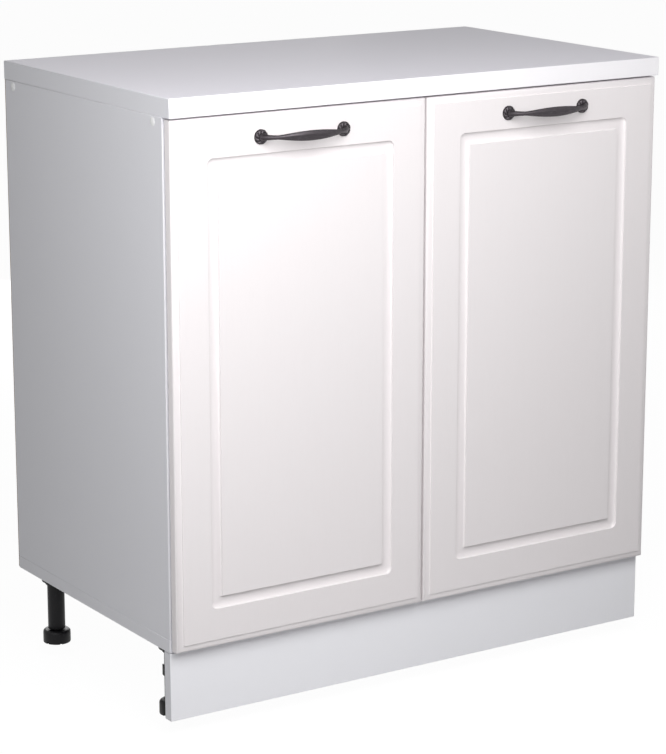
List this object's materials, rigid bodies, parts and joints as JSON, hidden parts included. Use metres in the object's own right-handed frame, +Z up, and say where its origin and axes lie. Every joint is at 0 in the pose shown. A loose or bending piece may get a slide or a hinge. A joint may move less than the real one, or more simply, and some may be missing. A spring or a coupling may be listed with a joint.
{
  "type": "kitchen base cabinet",
  "caption": "White two-door kitchen base cabinet with worktop, framed doors on concealed hinges, arched handles, plinth and levelling legs",
  "frame": {"origin": "on the floor, under the middle of the box round the cabinet and its handles", "axes": "+X along the width to the right as seen from the front, +Y from the doors to the back, +Z up"},
  "size_m": [0.8024, 0.4976, 0.846],
  "materials": {
    "white_board": "white melamine-faced chipboard, satin",
    "white_worktop": "white melamine-faced board, satin",
    "white_door": "white PVC film with a fine grain on MDF, satin",
    "hardboard": "white lacquered hardboard",
    "dowel_wood": "plain beech",
    "black_plastic": "black moulded polypropylene",
    "white_plastic": "white moulded plastic",
    "clear_plastic": "clear polyurethane",
    "handle_metal": "dark antique pewter on cast zinc",
    "nickel_steel": "nickel-plated",
    "zinc_steel": "bright zinc-plated"
  },
  "bodies": {
    "carcass": {"worktop": "white_worktop", "side_panel_left": "white_board", "side_panel_right": "white_board", "bottom_panel": "white_board", "top_rail_front": "white_board", "top_rail_back": "white_board", "back_panel": "hardboard", "back_nails": "zinc_steel", "shelf": "white_board", "shelf_pins": "zinc_steel", "worktop_screws": "zinc_steel", "rail_screws": "zinc_steel", "rail_dowels": "dowel_wood", "screw_caps": "white_plastic", "base_screws": "zinc_steel", "plinth": "white_board", "plinth_clips": "black_plastic", "clip_screws": "zinc_steel", "leg_front_left": "black_plastic", "leg_front_right": "black_plastic", "leg_back_left": "black_plastic", "leg_back_right": "black_plastic", "leg_screws": "zinc_steel", "hinge_plates": "nickel_steel", "plate_screws": "zinc_steel", "hinge_arms": "nickel_steel", "arm_screws": "zinc_steel", "arm_pins": "nickel_steel"},
    "left_door": {"left_door": "white_door", "left_hinge_cups": "nickel_steel", "left_cup_screws": "zinc_steel", "left_handle": "handle_metal", "left_rosettes": "handle_metal", "left_handle_screws": "zinc_steel", "left_bumpers": "clear_plastic"},
    "right_door": {"right_door": "white_door", "right_hinge_cups": "nickel_steel", "right_cup_screws": "zinc_steel", "right_handle": "handle_metal", "right_rosettes": "handle_metal", "right_handle_screws": "zinc_steel", "right_bumpers": "clear_plastic"},
    "left_links": {"left_hinge_links": "nickel_steel"},
    "right_links": {"right_hinge_links": "nickel_steel"},
    "foot_front_left": {"foot_front_left": "black_plastic"},
    "foot_front_right": {"foot_front_right": "black_plastic"},
    "foot_back_left": {"foot_back_left": "black_plastic"},
    "foot_back_right": {"foot_back_right": "black_plastic"}
  },
  "joints": [
    {"name": "left_door_hinge", "type": "hinge", "parent": "carcass", "child": "left_door", "pos_m": [-0.392, -0.21665, 0.4605], "axis": [0, 0, -1], "range_deg": [0, 105]},
    {"name": "right_door_hinge", "type": "hinge", "parent": "carcass", "child": "right_door", "pos_m": [0.392, -0.21665, 0.4605], "axis": [0, 0, 1], "range_deg": [0, 105]},
    {"name": "left_link_pivot", "type": "hinge", "parent": "carcass", "child": "left_links", "pos_m": [-0.36495, -0.2116, 0.4605], "axis": [0, 0, 1], "range_deg": [0, 30.6]},
    {"name": "right_link_pivot", "type": "hinge", "parent": "carcass", "child": "right_links", "pos_m": [0.36495, -0.2116, 0.4605], "axis": [0, 0, -1], "range_deg": [0, 30.6]},
    {"name": "foot_front_left_screw", "type": "slide", "parent": "carcass", "child": "foot_front_left", "axis": [0, 0, -1], "range_m": [0, 0.02]},
    {"name": "foot_front_right_screw", "type": "slide", "parent": "carcass", "child": "foot_front_right", "axis": [0, 0, -1], "range_m": [0, 0.02]},
    {"name": "foot_back_left_screw", "type": "slide", "parent": "carcass", "child": "foot_back_left", "axis": [0, 0, -1], "range_m": [0, 0.02]},
    {"name": "foot_back_right_screw", "type": "slide", "parent": "carcass", "child": "foot_back_right", "axis": [0, 0, -1], "range_m": [0, 0.02]}
  ],
  "couplings": [
    {"joint": "left_link_pivot", "follows": "left_door_hinge", "ratio": 0.29127},
    {"joint": "right_link_pivot", "follows": "right_door_hinge", "ratio": 0.29127}
  ]
}
